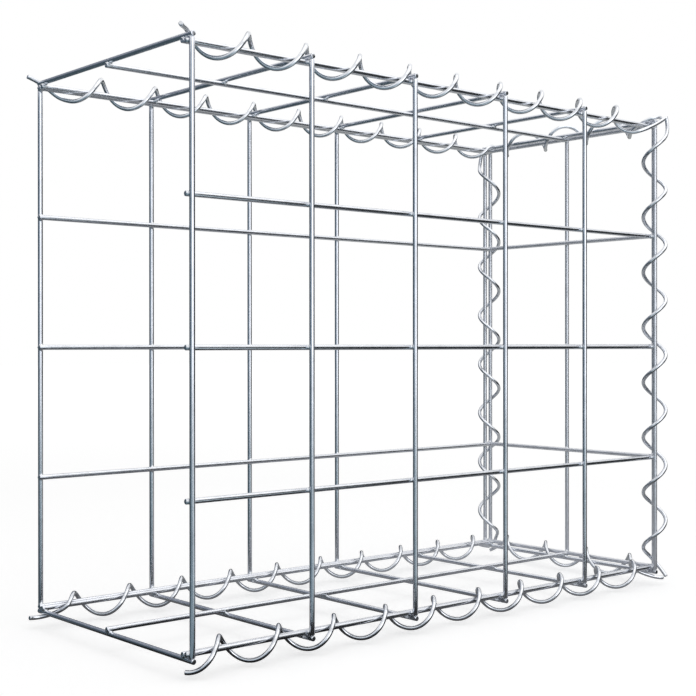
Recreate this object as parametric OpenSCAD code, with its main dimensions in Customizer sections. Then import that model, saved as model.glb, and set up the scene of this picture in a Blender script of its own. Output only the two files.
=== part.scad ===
// Welded mesh gabion basket with its right end panel, closed along its edges by spiral binders.
// Axes: X is the length (open end at -X), Y the depth (front at -Y), Z is up. Millimetres.
// The origin is at the bottom centre of the whole part's box.

/* [Basket] */

// Length between the first and the last upright
basket_l = 500; // [400:10:700]

// Depth between the front and the back panel's long wires
basket_d = 202; // [160:2:300]

// Height between the bottom and the top panel's long wires
basket_h = 400; // [300:10:600]

/* [Mesh wire] */

// Diameter of the mesh wire
wire_d = 3.8; // [3.4:0.1:4.2]

// How deep two crossing wires sink into each other at their weld
weld_bite = 0.3; // [0.2:0.05:0.4]

// How far a long wire runs past the upright at the open end, from centre to end
overhang = 3; // [2.5:0.25:6]

// Clearance between wires of neighbouring panels
panel_gap = 0.3; // [0.2:0.05:0.6]

/* [Spiral binders] */

// Diameter of the spiral's wire
coil_wire_d = 3.3; // [3:0.1:3.6]

// Mean diameter of the spiral, through the middle of its wire
coil_d = 19.8; // [19:0.2:22]

// Turns of the spiral in one bay of the mesh
turns_per_bay = 2; // [1:1:3]

// Clearance between a spiral and the wire that it bears on
seat_gap = 0.3; // [0.2:0.05:0.5]

// How far the long spirals' middle lies outside the edge wires, up at the top and down at the bottom
coil_rise = 2; // [1:0.25:3]

// How far the front bottom spiral starts outside the first upright
coil_start = 1; // [0:0.5:3]

// How far the end panel sits towards the back
end_slip = 3.4; // [0:0.2:3.6]

/* [Hidden] */

// smoothness of the spirals
rings_per_turn = 12;
ring_sides = 8;
tail_steps = 6;
wire_fn = 48;

steel = [0.72, 0.74, 0.77];
spiral_steel = [0.66, 0.68, 0.70];

// the numbers of wires, and the spacing that they leave
n_upright = 6;
n_level = 5;
n_across = 3;
bay_x = basket_l / (n_upright - 1);
bay_y = basket_d / (n_across - 1);
bay_z = basket_h / (n_level - 1);

wire_r = wire_d / 2;
coil_wire_r = coil_wire_d / 2;
coil_r = coil_d / 2;
pitch_x = bay_x / turns_per_bay;
pitch_y = bay_y / turns_per_bay;
pitch_z = bay_z / turns_per_bay;

// distance between the middles of two wires that are welded across each other
cross_step = wire_d - weld_bite;

// the mesh's own planes, with z = 0 in the bottom panel's long wires
first_x = -basket_l / 2;
last_x = basket_l / 2;
front_y = -basket_d / 2;
back_y = basket_d / 2;

// the end panel's cross wires clear the last uprights, and its uprights are welded outside them
end_x = last_x + wire_d + panel_gap + 0.1 * wire_r;
end_post_x = end_x + cross_step;

// the top and bottom panels' outer long wires lie beside those of the front and the back panel
edge_in = wire_d + panel_gap;

// the front and back panels' outer level wires keep clear of the cross wires above and below them
level_in = weld_bite + panel_gap;
function level_z(i) = i == 0 ? level_in : i == n_level - 1 ? basket_h - level_in : i * bay_z;

// the end panel's level wires stand a little wider apart, and its top one a little above the basket's
end_low_z = 0.08 * wire_d;
end_rise = bay_z + 0.04 * wire_d;

// where the wires end
left_end = first_x - overhang;
right_end = end_x - wire_r - panel_gap - 0.05 * wire_r;
post_low = -cross_step + wire_r + panel_gap;
post_high = basket_h - post_low;
cross_end = basket_d / 2 + cross_step + wire_r;
end_wire_y = basket_d / 2 + 0.65 * wire_d;
end_post_over = 0.63 * wire_d;

// a spiral bears on one wire at this distance between the spiral's middle and the wire's
bear = coil_r * cos(180 / rings_per_turn) - coil_wire_r - wire_r - seat_gap;

// the middles of the long spirals
coil_in = edge_in / 2 + 0.55;
coil_top_z = basket_h + coil_rise;
coil_low_z = -coil_rise;
top_front_mid = [front_y + coil_in, coil_top_z];
top_back_mid = [back_y - coil_in, coil_top_z];
low_front_mid = [front_y + coil_in, coil_low_z];
low_back_mid = [back_y - coil_in, coil_low_z];

// the middles of the upright spirals: the front one bears on the front panel's last upright,
// the back one on the end panel's back upright
post_front = [last_x, front_y - cross_step];
post_back = [end_post_x, back_y + end_slip];
coil_front = post_front + bear * [cos(39.6), sin(39.6)];
coil_back = post_back - bear * [cos(31.1), sin(31.1)];

// the middles of the short spirals, which bear on the last cross wires
short_top_z = basket_h + coil_rise + 0.22 * coil_r;
short_low_z = -coil_rise - 0.06 * coil_r;
short_top_x = last_x + sqrt(pow(bear, 2) - pow(short_top_z - basket_h - cross_step, 2));
short_low_x = last_x + sqrt(pow(bear, 2) - pow(short_low_z + cross_step, 2));

// the spiral end that reaches farthest out at the open end, set out in spiral radii, and its direction
far_tip = [-0.944, 0.374, -0.786];
far_dir = [-0.981, -0.123, 0.149];

// the whole part's box, for the origin
box_left = first_x + coil_r * far_tip[0] - coil_wire_r * sqrt(1 - pow(unit(far_dir)[0], 2));
box_right = max(short_top_x, short_low_x) + coil_r + coil_wire_r;
box_low = min(coil_low_z, short_low_z) - coil_r - coil_wire_r;
shift = [-(box_left + box_right) / 2, -(coil_front[1] + coil_back[1]) / 2, -box_low];

// points on a spiral about an axis along X, Y or Z through c, with its turn angle t
function on_x(x, c, t) = [x, c[0] + coil_r * cos(t), c[1] + coil_r * sin(t)];
function on_y(y, c, t) = [c[0] + coil_r * sin(t), y, c[1] + coil_r * cos(t)];
function on_z(z, c, t) = [c[0] + coil_r * cos(t), c[1] + coil_r * sin(t), z];

function run_x(x0, x1, c, t0, hand) = let (n = ceil((x1 - x0) / pitch_x * rings_per_turn))
    [for (i = [0 : n]) let (x = x0 + (x1 - x0) * i / n)
        on_x(x, c, t0 + hand * 360 * (x - first_x) / pitch_x)];
function run_y(y0, y1, c, t0, hand) = let (n = ceil((y1 - y0) / pitch_y * rings_per_turn))
    [for (i = [0 : n]) let (y = y0 + (y1 - y0) * i / n) on_y(y, c, t0 + hand * 360 * y / pitch_y)];
function run_z(z0, z1, c, t0, hand) = let (n = ceil((z1 - z0) / pitch_z * rings_per_turn))
    [for (i = [0 : n]) let (z = z0 + (z1 - z0) * i / n) on_z(z, c, t0 + hand * 360 * z / pitch_z)];

function unit(v) = v / norm(v);
function last(a) = a[len(a) - 1];
function backwards(a) = [for (i = [len(a) - 1 : -1 : 0]) a[i]];

// a tail that leaves the run's last point in its direction and ends at tip, heading along dir
function tail(a, tip, dir, k0, k1) = let (
        p0 = last(a), q0 = p0 + unit(p0 - a[len(a) - 2]) * k0 * coil_r, q1 = tip - unit(dir) * k1 * coil_r)
    [for (i = [1 : tail_steps]) let (u = i / tail_steps, w = 1 - u)
        w * w * w * p0 + 3 * w * w * u * q0 + 3 * w * u * u * q1 + u * u * u * tip];

function with_tail(a, tip, dir, k0, k1) = concat(a, tail(a, tip, dir, k0, k1));
function with_head(a, tip, dir, k0, k1) = backwards(with_tail(backwards(a), tip, dir, k0, k1));

// the corners at the end panel and at the open end, and a tip set out from them in spiral radii
function tip_at(y, z, out) = [last_x, y, z] + coil_r * out;
function open_tip_at(y, z, out) = [first_x, y, z] + coil_r * out;

// directions along a path, and a side vector carried from ring to ring without twist
function along(p) = let (n = len(p) - 1)
    [for (i = [0 : n]) unit(i == 0 ? p[1] - p[0] : i == n ? p[n] - p[n - 1]
        : unit(p[i + 1] - p[i]) + unit(p[i] - p[i - 1]))];
function square_to(v, t) = unit(v - (v * t) * t);
function sides(t) = [for (i = 0, s = square_to([0.31, 0.52, 0.79], t[0]); i < len(t);
    i = i + 1, s = square_to(s, t[min(i, len(t) - 1)])) s];

// a round wire along the path p
module wire_along(p) {
    m = ring_sides;
    n = len(p);
    t = along(p);
    s = sides(t);
    pts = [for (i = [0 : n - 1]) let (q = cross(t[i], s[i])) for (j = [0 : m - 1])
        p[i] + coil_wire_r * (cos(360 * j / m) * s[i] + sin(360 * j / m) * q)];
    walls = [for (i = [0 : n - 2]) for (j = [0 : m - 1]) for (k = [0, 1])
        let (a = i * m + j, b = i * m + (j + 1) % m, c = a + m, d = b + m)
        k == 0 ? [a, c, b] : [b, c, d]];
    caps = [[for (j = [0 : m - 1]) j], [for (j = [m - 1 : -1 : 0]) (n - 1) * m + j]];
    color(spiral_steel) translate(shift)
        polyhedron(points = pts, faces = concat(walls, caps), convexity = 20);
}

// straight wires, each from end to end along one axis
module wire_x(x0, x1, y, z) {
    color(steel) translate(shift + [x0, y, z]) rotate([0, 90, 0])
        cylinder(h = x1 - x0, r = wire_r, $fn = wire_fn);
}
module wire_y(x, y0, y1, z) {
    color(steel) translate(shift + [x, y1, z]) rotate([90, 0, 0])
        cylinder(h = y1 - y0, r = wire_r, $fn = wire_fn);
}
module wire_z(x, y, z0, z1) {
    color(steel) translate(shift + [x, y, z0]) cylinder(h = z1 - z0, r = wire_r, $fn = wire_fn);
}

// one wire of each kind, counted from the open end or from the bottom
module upright(i, y) { wire_z(first_x + i * bay_x, y, post_low, post_high); }
module level(i, y) { wire_x(left_end, right_end, y, level_z(i)); }
module long_wire(i, z) { wire_x(left_end, right_end, (i - 1) * (bay_y - edge_in), z); }
module cross_wire(i, z) { wire_y(first_x + i * bay_x, -cross_end, cross_end, z); }
module end_level(i) {
    wire_y(end_x, end_slip - end_wire_y, end_slip + end_wire_y, end_low_z + i * end_rise);
}
module end_upright(i) {
    wire_z(end_post_x, end_slip + (i - 1) * bay_y, -end_post_over, basket_h + end_post_over);
}

// front panel: uprights outside, level wires inside
module front_upright_1() { upright(0, front_y - cross_step); }
module front_upright_2() { upright(1, front_y - cross_step); }
module front_upright_3() { upright(2, front_y - cross_step); }
module front_upright_4() { upright(3, front_y - cross_step); }
module front_upright_5() { upright(4, front_y - cross_step); }
module front_upright_6() { upright(5, front_y - cross_step); }
module front_level_1() { level(0, front_y); }
module front_level_2() { level(1, front_y); }
module front_level_3() { level(2, front_y); }
module front_level_4() { level(3, front_y); }
module front_level_5() { level(4, front_y); }

// back panel
module back_upright_1() { upright(0, back_y + cross_step); }
module back_upright_2() { upright(1, back_y + cross_step); }
module back_upright_3() { upright(2, back_y + cross_step); }
module back_upright_4() { upright(3, back_y + cross_step); }
module back_upright_5() { upright(4, back_y + cross_step); }
module back_upright_6() { upright(5, back_y + cross_step); }
module back_level_1() { level(0, back_y); }
module back_level_2() { level(1, back_y); }
module back_level_3() { level(2, back_y); }
module back_level_4() { level(3, back_y); }
module back_level_5() { level(4, back_y); }

// top panel, the lid: long wires below, cross wires above
module top_long_front() { long_wire(0, basket_h); }
module top_long_middle() { long_wire(1, basket_h); }
module top_long_back() { long_wire(2, basket_h); }
module top_cross_1() { cross_wire(0, basket_h + cross_step); }
module top_cross_2() { cross_wire(1, basket_h + cross_step); }
module top_cross_3() { cross_wire(2, basket_h + cross_step); }
module top_cross_4() { cross_wire(3, basket_h + cross_step); }
module top_cross_5() { cross_wire(4, basket_h + cross_step); }
module top_cross_6() { cross_wire(5, basket_h + cross_step); }

// bottom panel: long wires above, cross wires below
module bottom_long_front() { long_wire(0, 0); }
module bottom_long_middle() { long_wire(1, 0); }
module bottom_long_back() { long_wire(2, 0); }
module bottom_cross_1() { cross_wire(0, -cross_step); }
module bottom_cross_2() { cross_wire(1, -cross_step); }
module bottom_cross_3() { cross_wire(2, -cross_step); }
module bottom_cross_4() { cross_wire(3, -cross_step); }
module bottom_cross_5() { cross_wire(4, -cross_step); }
module bottom_cross_6() { cross_wire(5, -cross_step); }

// end panel: level wires inside, uprights outside
module end_level_1() { end_level(0); }
module end_level_2() { end_level(1); }
module end_level_3() { end_level(2); }
module end_level_4() { end_level(3); }
module end_level_5() { end_level(4); }
module end_upright_front() { end_upright(0); }
module end_upright_middle() { end_upright(1); }
module end_upright_back() { end_upright(2); }

// the eight spiral binders, each wound round the wires of two panels, with tails drawn to the corner
module spiral_top_front() {
    run = run_x(first_x + 0.21 * pitch_x, last_x - 0.44 * pitch_x, top_front_mid, 90, -1);
    left = open_tip_at(front_y, basket_h, [-0.647, 0, 0.989]);
    open = with_head(run, left, [-0.726, -0.669, 0.162], 1.19, 0.81);
    wire_along(with_tail(open, tip_at(front_y, basket_h, [0.97, -0.77, 0.74]), [0.75, 0, 0.42], 0.9, 1.6));
}
module spiral_top_back() {
    run = run_x(first_x + 0.45 * pitch_x, last_x - 0.28 * pitch_x, top_back_mid, 92, -1);
    left = open_tip_at(back_y, basket_h, [-0.881, 0.753, 0.854]);
    open = with_head(run, left, [-0.96, 0.023, 0.279], 1.41, 2.26);
    tip = [last_x - wire_r - 0.3 * coil_wire_r - seat_gap, back_y - coil_r, basket_h + 0.45 * coil_r];
    wire_along(with_tail(open, tip, [0.75, 0.2, 0.1], 0.4, 0.4));
}
module spiral_bottom_front() {
    run = run_x(first_x - coil_start, last_x - 0.34 * pitch_x, low_front_mid, 270, -1);
    wire_along(with_tail(run, tip_at(front_y, 0, [0.9, -0.57, -0.95]), [0.9, -0.2, 0], 1, 1));
}
module spiral_bottom_back() {
    run = run_x(first_x + 0.34 * pitch_x, last_x - 0.36 * pitch_x, low_back_mid, 270, -1);
    open = with_head(run, open_tip_at(back_y, 0, far_tip), far_dir, 0.83, 1.49);
    wire_along(with_tail(open, tip_at(back_y, 0, [0.81, 0.5, -0.64]), [0.9, -0.52, -0.1], 0.9, 1));
}
module spiral_end_front() {
    run = run_z(0.2 * pitch_z, basket_h - 0.22 * pitch_z, coil_front, 0, 1);
    low = with_head(run, tip_at(front_y, 0, [1.26, -0.67, -0.87]), [0, -0.6, -0.8], 0.8, 0.5);
    wire_along(with_tail(low, tip_at(front_y, basket_h, [1.31, -0.61, 0.96]), [-0.3, 0.1, 1], 0.9, 0.7));
}
module spiral_end_back() {
    run = run_z(0.3 * pitch_z, basket_h - 0.34 * pitch_z, coil_back, 5, -1);
    low = with_head(run, tip_at(back_y, 0, [1.29, 0.15, 0]), [0, 0.3, -1], 0.8, 0.7);
    wire_along(with_tail(low, tip_at(back_y, basket_h, [0.3, 0.71, 0.56]), [0.5, -0.2, 0.8], 0.8, 0.7));
}
module spiral_end_top() {
    run = run_y(front_y + 0.36 * pitch_y, back_y - 0.3 * pitch_y, [short_top_x, short_top_z], 24, -1);
    front = with_head(run, tip_at(front_y, basket_h, [0.96, -0.2, 1.15]), [0.5, -0.8, 0], 0.9, 1);
    wire_along(with_tail(front, tip_at(back_y, basket_h, [0.81, 0.4, 0.77]), [-0.6, 0.7, 0.2], 0.7, 0.5));
}
module spiral_end_bottom() {
    run = run_y(front_y + 0.38 * pitch_y, back_y - 0.3 * pitch_y, [short_low_x, short_low_z], 156, 1);
    front = with_head(run, tip_at(front_y, 0, [-0.41, 1.31, -0.5]), [0, -1, 0], 0.2, 0.2);
    wire_along(with_tail(front, tip_at(back_y, 0, [0.91, 0.54, -1.04]), [-0.5, 0.8, -0.3], 0.7, 0.5));
}

front_upright_1();
front_upright_2();
front_upright_3();
front_upright_4();
front_upright_5();
front_upright_6();
front_level_1();
front_level_2();
front_level_3();
front_level_4();
front_level_5();
back_upright_1();
back_upright_2();
back_upright_3();
back_upright_4();
back_upright_5();
back_upright_6();
back_level_1();
back_level_2();
back_level_3();
back_level_4();
back_level_5();
top_long_front();
top_long_middle();
top_long_back();
top_cross_1();
top_cross_2();
top_cross_3();
top_cross_4();
top_cross_5();
top_cross_6();
bottom_long_front();
bottom_long_middle();
bottom_long_back();
bottom_cross_1();
bottom_cross_2();
bottom_cross_3();
bottom_cross_4();
bottom_cross_5();
bottom_cross_6();
end_level_1();
end_level_2();
end_level_3();
end_level_4();
end_level_5();
end_upright_front();
end_upright_middle();
end_upright_back();
spiral_top_front();
spiral_top_back();
spiral_bottom_front();
spiral_bottom_back();
spiral_end_front();
spiral_end_back();
spiral_end_top();
spiral_end_bottom();
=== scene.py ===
"""Looks of the wire gabion basket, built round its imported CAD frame.

Every straight wire and every spiral of the frame is replaced by a smooth swept mesh on
the same centre line, weld beads are added at the crossings, and all of it gets a
procedural zinc material. The row frame is in metres. The sizes below are in the part's
source's own millimetres, and row() turns a point of that frame into one of the row frame.
"""

import math

import bmesh
import bpy
import numpy as np
from mathutils import Matrix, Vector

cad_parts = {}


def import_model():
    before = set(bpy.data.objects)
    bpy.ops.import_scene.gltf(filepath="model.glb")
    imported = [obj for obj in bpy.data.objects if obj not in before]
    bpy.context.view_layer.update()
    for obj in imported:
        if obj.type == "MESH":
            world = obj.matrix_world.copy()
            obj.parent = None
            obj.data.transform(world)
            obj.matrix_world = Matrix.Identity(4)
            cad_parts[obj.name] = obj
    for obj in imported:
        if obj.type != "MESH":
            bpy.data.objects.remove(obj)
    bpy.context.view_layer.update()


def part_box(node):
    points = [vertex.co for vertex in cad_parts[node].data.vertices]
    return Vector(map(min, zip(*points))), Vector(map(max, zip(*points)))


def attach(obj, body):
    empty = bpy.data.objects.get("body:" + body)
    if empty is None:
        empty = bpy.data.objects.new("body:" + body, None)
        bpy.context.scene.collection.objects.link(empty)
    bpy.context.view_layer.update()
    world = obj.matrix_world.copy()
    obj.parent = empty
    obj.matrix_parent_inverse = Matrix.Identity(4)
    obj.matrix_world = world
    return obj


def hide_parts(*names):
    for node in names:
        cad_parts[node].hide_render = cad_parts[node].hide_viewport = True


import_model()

MM = 0.001

# ---------------------------------------------------------------- sizes of the part's source
# Its frame: x 0 at mid-length, y 0 at mid-depth, z 0 in the bottom mesh.
BASKET_L, BASKET_D, BASKET_H = 500.0, 202.0, 400.0
BAYS_X, BAYS_Y, BAYS_Z = 5, 2, 4
TURNS_PER_BAY = 2
WIRE_D, COIL_WIRE_D, COIL_D = 3.8, 3.3, 19.8
SEAT_GAP, WELD_BITE = 0.3, 0.3
COIL_RISE, COIL_IN, COIL_START = 2.0, 2.6, 1.0
UPRIGHT_OVER = 1.3  # how far an upright runs below z 0

WIRE_R, COIL_WIRE_R, COIL_R = WIRE_D / 2, COIL_WIRE_D / 2, COIL_D / 2
PITCH_X = BASKET_L / (BAYS_X * TURNS_PER_BAY)
PITCH_Y = BASKET_D / (BAYS_Y * TURNS_PER_BAY)
PITCH_Z = BASKET_H / (BAYS_Z * TURNS_PER_BAY)
FIRST_X, LAST_X = -BASKET_L / 2, BASKET_L / 2
FRONT_Y, BACK_Y = -BASKET_D / 2, BASKET_D / 2
CROSS_STEP = WIRE_D - WELD_BITE  # between the middles of two wires that are welded

# The row frame's origin, from a wire whose place in the source's frame is known.
lo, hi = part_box("front_upright_1")
SHIFT_MM = np.array([
    (lo.x + hi.x) / 2 / MM - FIRST_X,
    (lo.y + hi.y) / 2 / MM - (FRONT_Y - CROSS_STEP),
    lo.z / MM + UPRIGHT_OVER,
])


def row(point_mm):
    """A point of the source's frame in millimetres, as a point of the row frame."""
    return (np.asarray(point_mm, float) + SHIFT_MM) * MM


def unit(v):
    v = np.asarray(v, float)
    return v / np.linalg.norm(v)


# ---------------------------------------------------------------- camera
# Fitted to the photo's mesh crossings.
CAMERA_PLACE = [-711.805, -793.934, 200.913]
CAMERA_YAW, CAMERA_PITCH, CAMERA_ROLL = 0.712063, -0.001536, -0.000516
FOCAL_PX, PHOTO_PX, SENSOR_MM = 1271.77, 696, 36.0


def oriented(right, up, back, place):
    """The matrix of a camera or lamp that looks along -back."""
    m = Matrix.Identity(4)
    for k in range(3):
        m[k][0], m[k][1], m[k][2], m[k][3] = right[k], up[k], back[k], place[k]
    return m


def camera():
    forward = np.array([
        math.sin(CAMERA_YAW) * math.cos(CAMERA_PITCH),
        math.cos(CAMERA_YAW) * math.cos(CAMERA_PITCH),
        math.sin(CAMERA_PITCH),
    ])
    side = np.array([math.cos(CAMERA_YAW), -math.sin(CAMERA_YAW), 0.0])
    up = np.cross(side, forward)
    right = side * math.cos(CAMERA_ROLL) + up * math.sin(CAMERA_ROLL)
    up = -side * math.sin(CAMERA_ROLL) + up * math.cos(CAMERA_ROLL)
    data = bpy.data.cameras.new("photo_camera")
    data.sensor_width = SENSOR_MM
    data.lens = SENSOR_MM * FOCAL_PX / PHOTO_PX
    data.clip_start, data.clip_end = 0.01, 100.0
    cam = bpy.data.objects.new("photo_camera", data)
    cam.matrix_world = oriented(right, up, -forward, row(CAMERA_PLACE))
    bpy.context.scene.collection.objects.link(cam)
    bpy.context.scene.camera = cam


camera()


# ---------------------------------------------------------------- materials
def empty_material(name):
    """A new material without nodes, its node tree, and the tree's two calls that make and join."""
    mat = bpy.data.materials.new(name)
    mat.use_nodes = True
    nt = mat.node_tree
    nt.nodes.clear()
    return mat, nt, nt.nodes.new, nt.links.new


def zinc(name, base, rough, scale, metal=1.0):
    """Galvanised steel wire: a metal whose grey, gloss and skin vary in fine patches."""
    mat, _, new, link = empty_material(name)
    out, bsdf = new("ShaderNodeOutputMaterial"), new("ShaderNodeBsdfPrincipled")
    link(bsdf.outputs["BSDF"], out.inputs["Surface"])
    bsdf.inputs["Metallic"].default_value = metal
    coords = new("ShaderNodeTexCoord")

    def noise(size, detail):
        t = new("ShaderNodeTexNoise")
        t.inputs["Scale"].default_value = size
        t.inputs["Detail"].default_value = detail
        link(coords.outputs["Object"], t.inputs["Vector"])
        return t.outputs["Fac"]

    def ramp(value, stops):
        r = new("ShaderNodeValToRGB")
        while len(r.color_ramp.elements) < len(stops):
            r.color_ramp.elements.new(0.5)
        for e, (at, colour) in zip(r.color_ramp.elements, stops):
            e.position, e.color = at, (*colour, 1.0)
        link(value, r.inputs["Fac"])
        return r.outputs["Color"]

    # wide clouds of lighter and darker zinc, times its fine crystal facets
    dark = tuple(c * 0.88 for c in base)
    light = tuple(min(1.0, c * 1.05) for c in base)
    clouds = ramp(noise(70 * scale, 4), [(0.32, dark), (0.5, base), (0.68, light)])
    spangle = new("ShaderNodeTexVoronoi")
    spangle.inputs["Scale"].default_value = 420 * scale
    link(coords.outputs["Object"], spangle.inputs["Vector"])
    facets = new("ShaderNodeSeparateColor")
    link(spangle.outputs["Color"], facets.inputs["Color"])
    facet_tone = ramp(facets.outputs[0], [(0.0, (0.95, 0.95, 0.95)), (1.0, (1, 1, 1))])
    mix = new("ShaderNodeMix")
    mix.data_type, mix.blend_type = "RGBA", "MULTIPLY"
    mix.inputs["Factor"].default_value = 1.0
    link(clouds, mix.inputs["A"])
    link(facet_tone, mix.inputs["B"])
    link(mix.outputs["Result"], bsdf.inputs["Base Color"])

    gloss = new("ShaderNodeMapRange")
    gloss.inputs["To Min"].default_value = rough - 0.03
    gloss.inputs["To Max"].default_value = rough + 0.05
    link(noise(240 * scale, 3), gloss.inputs["Value"])
    link(gloss.outputs["Result"], bsdf.inputs["Roughness"])

    bump = new("ShaderNodeBump")
    bump.inputs["Strength"].default_value = 0.03
    bump.inputs["Distance"].default_value = 0.00012
    link(noise(600 * scale, 3), bump.inputs["Height"])
    link(bump.outputs["Normal"], bsdf.inputs["Normal"])
    return mat


WIRE_ZINC = zinc("wire_zinc", (0.80, 0.82, 0.87), 0.18, 1.0)
# painted light: the closed end's wires get a rougher, less metallic copy of the wire zinc, which
# renders lighter, standing in for brighter light there
LIT_END_ZINC = zinc("lit_end_wire_zinc", (0.80, 0.82, 0.87), 0.28, 1.0, metal=0.7)
COIL_ZINC = zinc("coil_zinc", (0.80, 0.82, 0.86), 0.16, 1.3)
WELD_ZINC = zinc("weld_zinc", (0.80, 0.82, 0.85), 0.26, 2.0)


# ---------------------------------------------------------------- mesh helpers
def mesh_object(name, verts, faces, mat):
    mesh = bpy.data.meshes.new(name)
    mesh.from_pydata([tuple(v) for v in verts], [], faces)
    mesh.materials.append(mat)
    obj = bpy.data.objects.new(name, mesh)
    bpy.context.scene.collection.objects.link(obj)
    return obj


def piece(name, verts, faces, mat, replaced=()):
    """A visible piece of the basket, in place of the frame's nodes that it replaces."""
    obj = mesh_object(name, verts, faces, mat)
    obj.data.validate()
    obj.data.shade_smooth()
    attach(obj, "root")
    if replaced:
        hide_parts(*replaced)


# A cut end's shape: the distance from the end in mm, and the share of the wire's radius there.
END_PROFILE = ((0.00, 0.50), (0.02, 0.76), (0.10, 0.90), (0.24, 0.975), (0.45, 1.0))
END_AT = [at for at, _ in END_PROFILE]
END_SHARE = [share for _, share in END_PROFILE]


def sweep(points, radius, sides):
    """A round wire along a line of points in metres, its two ends cut and slightly rolled."""
    pts = np.asarray(points, float)
    seg = np.linalg.norm(np.diff(pts, axis=0), axis=1)
    along = np.concatenate([[0.0], np.cumsum(seg)])
    total = along[-1]
    ends = [at * MM for at in END_AT]
    inner = ends[-1] + 0.2 * MM
    stops = sorted(set(
        ends + [total - e for e in ends] + [s for s in along if inner < s < total - inner]
    ))
    centre = np.stack([np.interp(stops, along, pts[:, k]) for k in range(3)], 1)
    tangent = np.gradient(centre, np.asarray(stops), axis=0)
    tangent /= np.linalg.norm(tangent, axis=1)[:, None]
    share = [np.interp(min(s, total - s) / MM, END_AT, END_SHARE) for s in stops]

    # the rings' first axis is carried along the line without twist
    start = np.array([0.0, 0.0, 1.0]) if abs(tangent[0][2]) < 0.9 else np.array([1.0, 0.0, 0.0])
    u = unit(start - tangent[0] * (start @ tangent[0]))
    angle = np.arange(sides) * 2 * math.pi / sides
    verts = []
    for c, t, k in zip(centre, tangent, share):
        u = unit(u - t * (u @ t))
        w = np.cross(t, u)
        verts.extend(c + radius * k * (np.outer(np.cos(angle), u) + np.outer(np.sin(angle), w)))

    faces = []
    last_ring = (len(stops) - 1) * sides
    for a0 in range(0, last_ring, sides):
        for j in range(sides):
            a, b = a0 + j, a0 + (j + 1) % sides
            faces.append((a, b, b + sides, a + sides))
    first, last = len(verts), len(verts) + 1
    verts += [centre[0], centre[-1]]
    for j in range(sides):
        faces.append((first, (j + 1) % sides, j))
        faces.append((last, last_ring + j, last_ring + (j + 1) % sides))
    return verts, faces


# ---------------------------------------------------------------- straight wires
WIRE_SIDES = 40
WIRE_STEP = 0.01  # metres between two rings of a straight wire

ACROSS, LEVELS, DEPTHS = range(1, 7), range(1, 6), ("front", "middle", "back")
PANELS = {
    "front": [f"front_upright_{i}" for i in ACROSS] + [f"front_level_{i}" for i in LEVELS],
    "back": [f"back_upright_{i}" for i in ACROSS] + [f"back_level_{i}" for i in LEVELS],
    "top": [f"top_cross_{i}" for i in ACROSS] + [f"top_long_{d}" for d in DEPTHS],
    "bottom": [f"bottom_cross_{i}" for i in ACROSS] + [f"bottom_long_{d}" for d in DEPTHS],
    "end": [f"end_level_{i}" for i in LEVELS] + [f"end_upright_{d}" for d in DEPTHS],
}
BOXES = {node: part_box(node) for names in PANELS.values() for node in names}


def axis_of(low, high):
    """The axis along which a wire's box is longest."""
    size = [high[k] - low[k] for k in range(3)]
    return size.index(max(size))


def straight(node):
    low, high = BOXES[node]
    k = axis_of(low, high)
    length = high[k] - low[k]
    points = []
    for s in np.linspace(0, 1, max(2, int(length / WIRE_STEP))):
        p = [(low[i] + high[i]) / 2 for i in range(3)]
        p[k] = low[k] + s * length
        points.append(p)
    across = (k + 1) % 3
    verts, faces = sweep(points, (high[across] - low[across]) / 2, WIRE_SIDES)
    # the wires of the closed end take the lighter copy of the zinc: painted light
    takes_lit_copy = node.startswith("end_") or node.endswith("upright_6")
    mat = LIT_END_ZINC if takes_lit_copy else WIRE_ZINC
    piece("wire_" + node, verts, faces, mat, [node])


for names in PANELS.values():
    for node in names:
        straight(node)


# ---------------------------------------------------------------- welds
rng = np.random.default_rng(7)
WELD_REACH = 3.4  # mm from the contact point to the end of a weld's skin
WELD_SWELL, WELD_SINK = 0.09, 0.03  # mm above the wires at the contact, and below them at the end
LUMP = 0.02


def unit_sphere(steps):
    bm = bmesh.new()
    bmesh.ops.create_icosphere(bm, subdivisions=steps, radius=1.0)
    verts = np.array([v.co[:] for v in bm.verts])
    faces = [tuple(v.index for v in f.verts) for f in bm.faces]
    bm.free()
    return verts, faces


RAYS, RAY_FACES = unit_sphere(4)


def weld_shape(blend, lumps):
    """The skin of two crossed wires run together, in mm about their contact point.

    The first wire runs along u below it, and the second along v above it.
    """
    half = CROSS_STEP / 2
    steps = np.linspace(0.05, WELD_REACH, 90)
    p = RAYS[:, None, :] * steps[None, :, None]
    u, v, w = p[..., 0], p[..., 1], p[..., 2]
    d1 = np.sqrt(v**2 + (w + half) ** 2) - WIRE_R
    d2 = np.sqrt(u**2 + (w - half) ** 2) - WIRE_R
    mixed = np.maximum(blend - np.abs(d1 - d2), 0) / blend
    f = np.minimum(d1, d2) - mixed**2 * blend / 4
    swell = WELD_SWELL * (1 - (steps / WELD_REACH) ** 2) - WELD_SINK
    outside = f - swell[None, :] + lumps[:, None] > 0
    outside[:, -1] = True
    return RAYS * steps[outside.argmax(1)][:, None]


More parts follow.
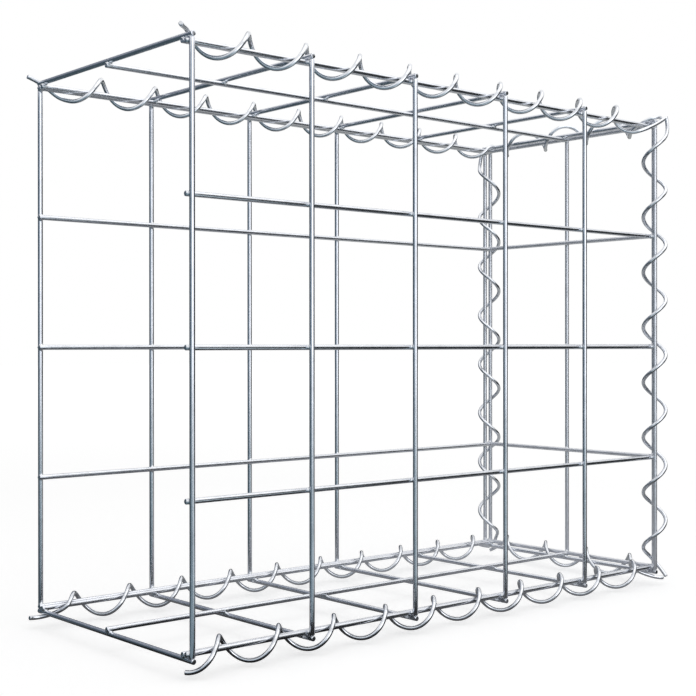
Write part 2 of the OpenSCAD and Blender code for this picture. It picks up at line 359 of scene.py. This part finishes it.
def panel_welds(panel, names):
    """One mesh with a weld at each crossing of a panel's wires."""
    verts, faces = [], []
    for i, a in enumerate(names):
        for b in names[i + 1:]:
            (la, ha), (lb, hb) = BOXES[a], BOXES[b]
            ka, kb = axis_of(la, ha), axis_of(lb, hb)
            if ka == kb:
                continue
            low = np.array([max(la[k], lb[k]) for k in range(3)])
            high = np.array([min(ha[k], hb[k]) for k in range(3)])
            if (high - low < 0).any():
                continue
            kc = 3 - ka - kb
            sign = 1.0 if (lb[kc] + hb[kc]) > (la[kc] + ha[kc]) else -1.0
            phase = rng.uniform(0, 6.28, 3)
            lumps = LUMP * (
                np.sin(RAYS[:, 0] * 4 + phase[0])
                + np.sin(RAYS[:, 1] * 5 + phase[1])
                + np.sin(RAYS[:, 2] * 3 + phase[2])
            )
            shape = weld_shape(rng.uniform(0.9, 1.5), lumps)
            placed = np.zeros((len(shape), 3))
            placed[:, ka] = shape[:, 0]
            placed[:, kb] = shape[:, 1]
            placed[:, kc] = shape[:, 2] * sign
            axes = np.eye(3)
            mirrored = np.linalg.det(np.array([axes[ka], axes[kb], axes[kc] * sign])) < 0
            base = len(verts)
            verts.extend((low + high) / 2 + placed * MM)
            for f in RAY_FACES:
                faces.append(tuple(base + v for v in (f[::-1] if mirrored else f)))
    piece("welds_" + panel, verts, faces, WELD_ZINC)


for panel, names in PANELS.items():
    panel_welds(panel, names)


# ---------------------------------------------------------------- spirals
RINGS_PER_TURN, TAIL_STEPS, COIL_SIDES = 48, 30, 24

# The spirals' middles: y, z of the long ones, x, y of the upright ones, x, z of the short ones.
TOP_Z, LOW_Z = BASKET_H + COIL_RISE, -COIL_RISE
TOP_FRONT_MID, TOP_BACK_MID = (FRONT_Y + COIL_IN, TOP_Z), (BACK_Y - COIL_IN, TOP_Z)
LOW_FRONT_MID, LOW_BACK_MID = (FRONT_Y + COIL_IN, LOW_Z), (BACK_Y - COIL_IN, LOW_Z)
COIL_FRONT, COIL_BACK = (254.40, -100.859), (252.898, 101.449)
SHORT_TOP, SHORT_LOW = (255.672, 404.178), (255.640, -2.594)


def on_x(x, c, t):
    return [x, c[0] + COIL_R * math.cos(t), c[1] + COIL_R * math.sin(t)]


def on_y(y, c, t):
    return [c[0] + COIL_R * math.sin(t), y, c[1] + COIL_R * math.cos(t)]


def on_z(z, c, t):
    return [c[0] + COIL_R * math.cos(t), c[1] + COIL_R * math.sin(t), z]


def run(rule, a0, a1, origin, pitch, c, t0, hand):
    """The regular turns between a0 and a1, with the angle t0 in degrees at the origin."""
    n = math.ceil((a1 - a0) / pitch * RINGS_PER_TURN)
    out = []
    for i in range(n + 1):
        a = a0 + (a1 - a0) * i / n
        out.append(rule(a, c, math.radians(t0 + hand * 360 * (a - origin) / pitch)))
    return out


def long_run(start, end, mid, t0):
    """A long spiral's regular turns, between two places in turns from its outer uprights."""
    a0, a1 = FIRST_X + start * PITCH_X, LAST_X - end * PITCH_X
    return run(on_x, a0, a1, FIRST_X, PITCH_X, mid, t0, -1)


def upright_run(low, high, mid, t0, hand):
    return run(on_z, low * PITCH_Z, BASKET_H - high * PITCH_Z, 0, PITCH_Z, mid, t0, hand)


def short_run(front, back, mid, t0, hand):
    a0, a1 = FRONT_Y + front * PITCH_Y, BACK_Y - back * PITCH_Y
    return run(on_y, a0, a1, 0, PITCH_Y, mid, t0, hand)


def tail(line, tip, way, k0, k1):
    """The line run on in one curve to a tip, which it reaches in the direction named way."""
    line = [np.asarray(p, float) for p in line]
    p0, tip = line[-1], np.asarray(tip, float)
    q0 = p0 + unit(p0 - line[-2]) * k0 * COIL_R
    q1 = tip - unit(way) * k1 * COIL_R
    for i in range(1, TAIL_STEPS + 1):
        s = i / TAIL_STEPS
        r = 1 - s
        line.append(r**3 * p0 + 3 * s * r**2 * q0 + 3 * s * s * r * q1 + s**3 * tip)
    return line


def head(line, tip, way, k0, k1):
    """The same at the line's first point."""
    return tail(line[::-1], tip, way, k0, k1)[::-1]


def tip_at(y, z, out):
    """A tip near the closed end's corner at y and z, out from it in coil radii."""
    return np.array([LAST_X, y, z]) + COIL_R * np.array(out)


def open_tip_at(y, z, out):
    """The same at the open end."""
    return np.array([FIRST_X, y, z]) + COIL_R * np.array(out)


TOP_BACK_END = [
    LAST_X - WIRE_R - 0.3 * COIL_WIRE_R - SEAT_GAP,
    BACK_Y - COIL_R,
    BASKET_H + 0.45 * COIL_R,
]
spirals = {
    "spiral_top_front": tail(
        head(
            long_run(0.21, 0.44, TOP_FRONT_MID, 90),
            open_tip_at(FRONT_Y, BASKET_H, [-0.647, 0, 0.989]),
            [-0.726, -0.669, 0.162], 1.19, 0.81),
        tip_at(FRONT_Y, BASKET_H, [0.97, -0.77, 0.74]), [0.75, 0, 0.42], 0.9, 1.6),
    "spiral_top_back": tail(
        head(
            long_run(0.45, 0.28, TOP_BACK_MID, 92),
            open_tip_at(BACK_Y, BASKET_H, [-0.881, 0.753, 0.854]),
            [-0.96, 0.023, 0.279], 1.41, 2.26),
        TOP_BACK_END, [0.75, 0.2, 0.1], 0.4, 0.4),
    "spiral_bottom_front": tail(
        long_run(-COIL_START / PITCH_X, 0.34, LOW_FRONT_MID, 270),
        tip_at(FRONT_Y, 0, [0.9, -0.57, -0.95]), [0.9, -0.2, 0], 1, 1),
    "spiral_bottom_back": tail(
        head(
            long_run(0.34, 0.36, LOW_BACK_MID, 270),
            open_tip_at(BACK_Y, 0, [-0.944, 0.374, -0.786]), [-0.981, -0.123, 0.149], 0.83, 1.49),
        tip_at(BACK_Y, 0, [0.81, 0.5, -0.64]), [0.9, -0.52, -0.1], 0.9, 1),
    "spiral_end_front": tail(
        head(
            upright_run(0.2, 0.22, COIL_FRONT, 0, 1),
            tip_at(FRONT_Y, 0, [1.26, -0.67, -0.87]), [0, -0.6, -0.8], 0.8, 0.5),
        tip_at(FRONT_Y, BASKET_H, [1.31, -0.61, 0.96]), [-0.3, 0.1, 1], 0.9, 0.7),
    "spiral_end_back": tail(
        head(
            upright_run(0.3, 0.34, COIL_BACK, 5, -1),
            tip_at(BACK_Y, 0, [1.29, 0.15, 0]), [0, 0.3, -1], 0.8, 0.7),
        tip_at(BACK_Y, BASKET_H, [0.3, 0.71, 0.56]), [0.5, -0.2, 0.8], 0.8, 0.7),
    # its front tail runs where the photo shows it, up to 10 mm from the solid's tail
    "spiral_end_top": tail(
        head(
            short_run(0.489, 0.3, SHORT_TOP, 24, -1),
            tip_at(FRONT_Y, BASKET_H, [0.738, -0.455, 0.815]), [0.989, 0.148, -0.017], 1.45, 1.58),
        tip_at(BACK_Y, BASKET_H, [0.81, 0.4, 0.77]), [-0.6, 0.7, 0.2], 0.7, 0.5),
    "spiral_end_bottom": tail(
        head(
            short_run(0.38, 0.3, SHORT_LOW, 156, 1),
            tip_at(FRONT_Y, 0, [-0.41, 1.31, -0.5]), [0, -1, 0], 0.2, 0.2),
        tip_at(BACK_Y, 0, [0.91, 0.54, -1.04]), [-0.5, 0.8, -0.3], 0.7, 0.5),
}
for node, line in spirals.items():
    verts, faces = sweep(row(np.array(line)), COIL_WIRE_R * MM, COIL_SIDES)
    piece(node + "_wound", verts, faces, COIL_ZINC, [node])


# ---------------------------------------------------------------- studio
FLOOR_Z, FLOOR_HALF = -0.002, 12
GROUND_CARD_Z = -0.001
CARD_DISTANCE = 3.2
CARD_STEP = 5  # degrees between two corners of a card's curve
CAMERA_BEARING = math.atan2(-0.756, -0.654)  # from the object to the camera's side
VIEW_AXIS = (0.653, 0.757, 0.0)  # away from the camera, level


def background_ray(nt):
    """1 for rays from the camera, a mirror or glass, and 0 for all others."""
    new, link = nt.nodes.new, nt.links.new
    path = new("ShaderNodeLightPath")
    found = path.outputs["Is Camera Ray"]
    for kind in ("Is Glossy Ray", "Is Transmission Ray"):
        either = new("ShaderNodeMath")
        either.operation = "MAXIMUM"
        link(found, either.inputs[0])
        link(path.outputs[kind], either.inputs[1])
        found = either.outputs[0]
    return found


def map_range(nt, value, from_range, to_range):
    level = nt.nodes.new("ShaderNodeMapRange")
    level.inputs["From Min"].default_value, level.inputs["From Max"].default_value = from_range
    level.inputs["To Min"].default_value, level.inputs["To Max"].default_value = to_range
    nt.links.new(value, level.inputs["Value"])
    return level.outputs["Result"]


def floor():
    """A pale floor: its glow makes it white without lighting the object, and keeps the shadow."""
    mat, nt, new, link = empty_material("floor_paint")
    out, add = new("ShaderNodeOutputMaterial"), new("ShaderNodeAddShader")
    diffuse, glow = new("ShaderNodeBsdfDiffuse"), new("ShaderNodeEmission")
    diffuse.inputs["Color"].default_value = (0.8, 0.8, 0.8, 1)
    coords, away = new("ShaderNodeTexCoord"), new("ShaderNodeVectorMath")
    away.operation = "LENGTH"
    link(coords.outputs["Object"], away.inputs[0])
    graded = new("ShaderNodeMath")
    graded.operation = "MULTIPLY"
    link(background_ray(nt), graded.inputs[0])
    link(map_range(nt, away.outputs["Value"], (1.0, 4.0), (0.55, 0.70)), graded.inputs[1])
    link(graded.outputs[0], glow.inputs["Strength"])
    link(diffuse.outputs[0], add.inputs[0])
    link(glow.outputs[0], add.inputs[1])
    link(add.outputs[0], out.inputs["Surface"])
    h = FLOOR_HALF
    corners = [(-h, -h, FLOOR_Z), (h, -h, FLOOR_Z), (h, h, FLOOR_Z), (-h, h, FLOOR_Z)]
    mesh_object("studio_floor", corners, [(0, 1, 2, 3)], mat)


def world():
    w = bpy.data.worlds.new("studio")
    bpy.context.scene.world = w
    w.use_nodes = True
    nt = w.node_tree
    nt.nodes.clear()
    out, bg = nt.nodes.new("ShaderNodeOutputWorld"), nt.nodes.new("ShaderNodeBackground")
    bg.inputs["Color"].default_value = (1, 1, 1, 1)
    strength = map_range(nt, background_ray(nt), (0.0, 1.0), (0.45, 1.0))
    nt.links.new(strength, bg.inputs["Strength"])
    nt.links.new(bg.outputs[0], out.inputs["Surface"])


def facing(azimuth):
    """The level direction at an azimuth in degrees, from the camera's side to its right."""
    towards = CAMERA_BEARING + math.radians(azimuth)
    return np.array([math.cos(towards), math.sin(towards), 0.0])


def card(name, az0, az1, inner, outer, colour, graded=None):
    """A glowing studio card between two azimuths, which only reflections see: a painted
    reflection. Dark cards paint shade on the wires' edges and light cards paint their highlights.

    inner and outer give the distance from the object and the height of its two edges. Where
    graded is given, it holds two places along the view and the card's strengths there.
    """
    mat, nt, new, link = empty_material(name)
    out, glow = new("ShaderNodeOutputMaterial"), new("ShaderNodeEmission")
    glow.inputs["Color"].default_value = (*colour, 1)
    link(glow.outputs[0], out.inputs["Surface"])
    if graded:
        coords, depth = new("ShaderNodeTexCoord"), new("ShaderNodeVectorMath")
        depth.operation = "DOT_PRODUCT"
        link(coords.outputs["Object"], depth.inputs[0])
        depth.inputs[1].default_value = VIEW_AXIS
        link(map_range(nt, depth.outputs["Value"], *graded), glow.inputs["Strength"])

    steps = max(2, math.ceil(abs(az1 - az0) / CARD_STEP))
    verts, faces = [], []
    for i in range(steps + 1):
        d = facing(az0 + (az1 - az0) * i / steps)
        for distance, height in (inner, outer):
            verts.append((d[0] * distance, d[1] * distance, height))
        if i:
            k = 2 * i
            faces.append((k - 2, k, k + 1, k - 1))
    obj = mesh_object(name, verts, faces, mat)
    obj.visible_camera = False
    obj.visible_diffuse = False
    obj.visible_shadow = False
    obj.visible_transmission = False


def ground_card(name, az0, az1, near, far, colour, graded=None):
    """A card that lies on the floor, from near to far in metres."""
    card(name, az0, az1, (near, GROUND_CARD_Z), (far, GROUND_CARD_Z), colour, graded)


def wall_card(name, az0, az1, low, high, colour):
    """A card that stands round the object, from low to high in metres."""
    card(name, az0, az1, (CARD_DISTANCE, low), (CARD_DISTANCE, high), colour)


def area(name, azimuth, elevation, distance, size, power):
    """A soft lamp that looks at the object."""
    data = bpy.data.lights.new(name, "AREA")
    data.shape = "RECTANGLE"
    data.size, data.size_y = size
    data.energy = power
    obj = bpy.data.objects.new(name, data)
    e = math.radians(elevation)
    back = facing(azimuth) * math.cos(e) + np.array([0.0, 0.0, math.sin(e)])
    right = unit(np.cross([0.0, 0.0, 1.0], back))
    place = back * distance + np.array([0, 0, 0.2])
    obj.matrix_world = oriented(right, np.cross(back, right), back, place)
    obj.visible_camera = False
    bpy.context.scene.collection.objects.link(obj)


floor()
world()
UNDER_REFLECTION_GLOW = ((-0.16, 0.24), (0.02, 0.40))  # the glow of a card under the object that only reflections see: darker in front, lighter behind, a painted reflection of the floor
ground_card("ground_near", 0, 360, 0.0, 0.30, (0.95, 0.97, 1.0), UNDER_REFLECTION_GLOW)
# cards on the floor, seen only in reflections: painted reflections that shade or light the wires'
# undersides
for name, az0, az1, colour in (
    ("ground_camera", -42, 10, (0.20, 0.27, 0.31)),
    ("ground_right", 10, 60, (0.50, 0.58, 0.62)),
    ("ground_far_right", 60, 114, (0.03, 0.033, 0.036)),
    ("ground_behind", 114, 205, (0.42, 0.43, 0.42)),
    ("ground_left", 205, 318, (0.06, 0.085, 0.10)),
):
    ground_card(name, az0, az1, 0.30, 3.3, colour)
# cards round the object, seen only in reflections: painted shade on the wires' edges and painted
# highlights
for name, az0, az1, low, high, colour in (
    ("card_left", 205, 318, -0.2, 1.05, (0.06, 0.09, 0.115)),
    ("card_high_left", 190, 300, 1.05, 2.7, (0.24, 0.26, 0.31)),
    ("card_camera", -42, 10, -0.2, 1.6, (0.52, 0.59, 0.66)),
    ("card_right", 10, 66, -0.2, 2.2, (0.98, 1.0, 1.04)),
    ("card_far_right", 66, 112, -0.2, 1.4, (0.03, 0.035, 0.035)),
    ("card_behind", 112, 205, -0.2, 1.05, (0.05, 0.055, 0.06)),
):
    wall_card(name, az0, az1, low, high, colour)
area("key_lamp", 29, 10, 2.6, (1.8, 2.0), 9)
area("top_lamp", 80, 70, 2.6, (2.5, 2.5), 11)

bpy.context.scene.view_settings.view_transform = "Standard"
